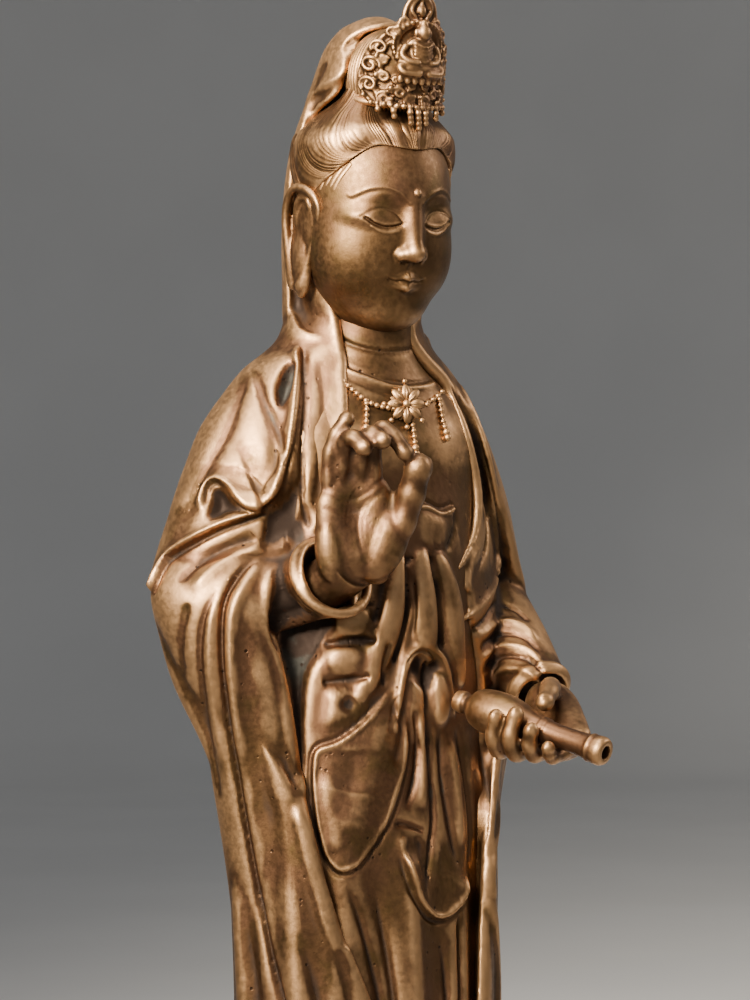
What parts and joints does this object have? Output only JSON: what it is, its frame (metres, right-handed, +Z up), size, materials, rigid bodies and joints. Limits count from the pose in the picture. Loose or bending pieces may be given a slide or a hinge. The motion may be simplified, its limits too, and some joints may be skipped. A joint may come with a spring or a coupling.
{
  "type": "guanyin figure",
  "caption": "Standing cast bronze guanyin in a long veil and layered robes, right hand raised, flask held in the left hand, on a low round lotus base.",
  "frame": {"origin": "centre of the lotus base's underside, on the surface it stands on", "axes": "+Z up along the figure's height, the figure faces -Y, its own left hand is on the +X side"},
  "size_m": [0.1893, 0.2077, 0.6502],
  "materials": {
    "bronze": "satin, brown patina with rubbed golden heights and dark recesses",
    "base_bronze": "satin, brown patina"
  },
  "bodies": {
    "root": {"figure": "bronze", "lotus_base": "base_bronze"}
  },
  "joints": []
}
